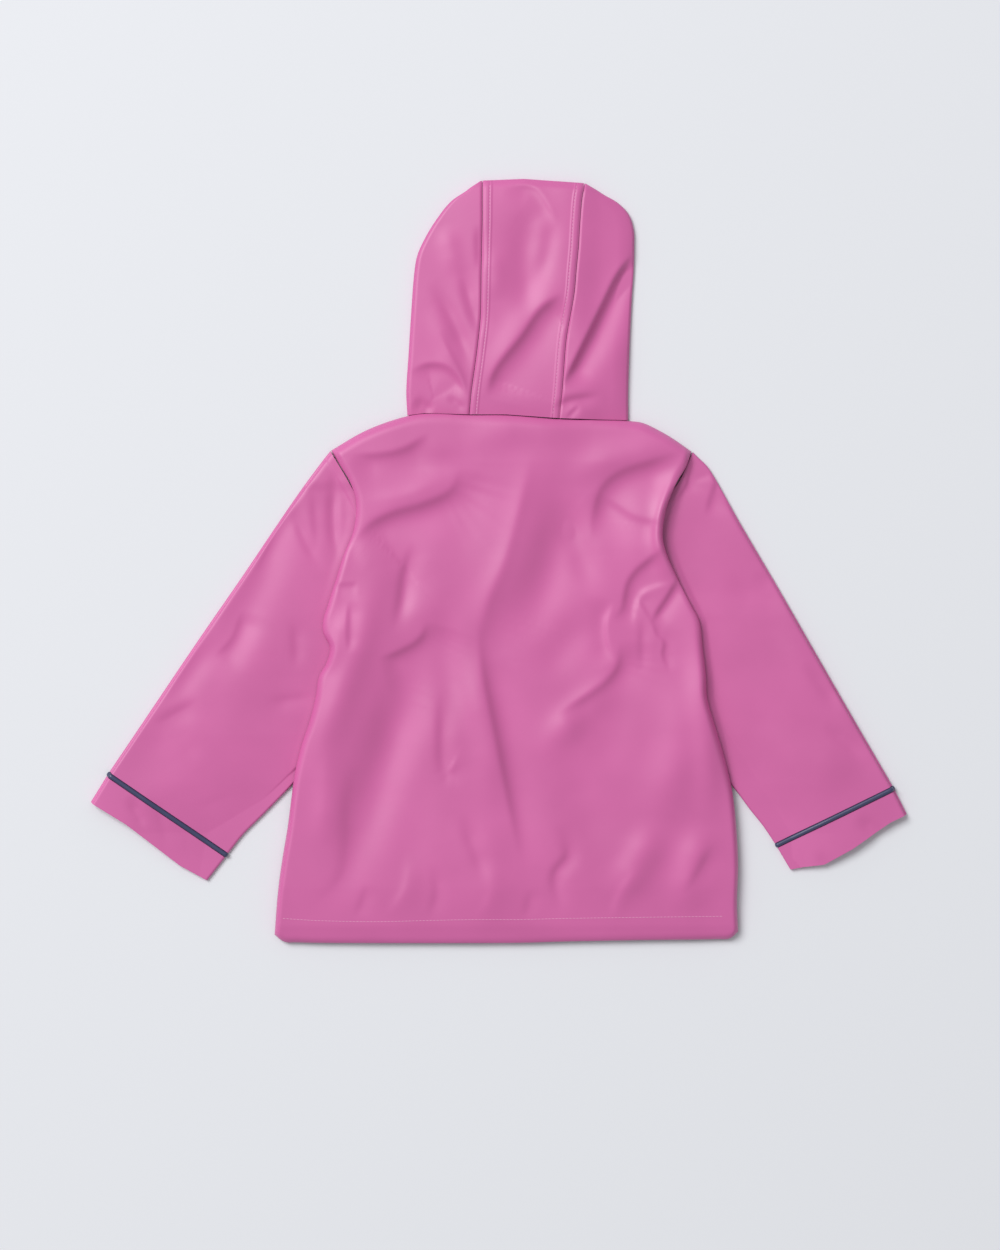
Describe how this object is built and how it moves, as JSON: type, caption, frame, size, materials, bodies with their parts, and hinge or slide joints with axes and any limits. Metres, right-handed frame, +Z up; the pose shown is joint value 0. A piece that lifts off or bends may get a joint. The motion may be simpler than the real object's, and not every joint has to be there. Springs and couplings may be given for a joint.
{
  "type": "child's hooded raincoat, laid flat",
  "caption": "Child's hooded raincoat laid face down, with folded soft back, piped cuffs and a three-panel hood.",
  "frame": {"origin": "centre of the laid coat's outline, on the surface that it lies on", "axes": "+X towards the wearer's right sleeve, +Y towards the hood, +Z up out of the coat's back"},
  "size_m": [0.75, 0.7014, 0.0219],
  "materials": {
    "cloth": "smooth coated cloth, satin, pink",
    "piping": "satin navy piping",
    "stud": "moulded press stud in the cloth's colour"
  },
  "bodies": {
    "root": {"back": "cloth", "front_left": "cloth", "front_right": "cloth", "hood_centre": "cloth", "hood_side_left": "cloth", "hood_side_right": "cloth", "sleeve_left": "cloth", "sleeve_right": "cloth", "cuff_left": "cloth", "cuff_right": "cloth", "piping_left": "piping", "piping_right": "piping", "stud_1": "stud", "stud_2": "stud", "stud_3": "stud", "stud_4": "stud", "stud_5": "stud"}
  },
  "joints": []
}
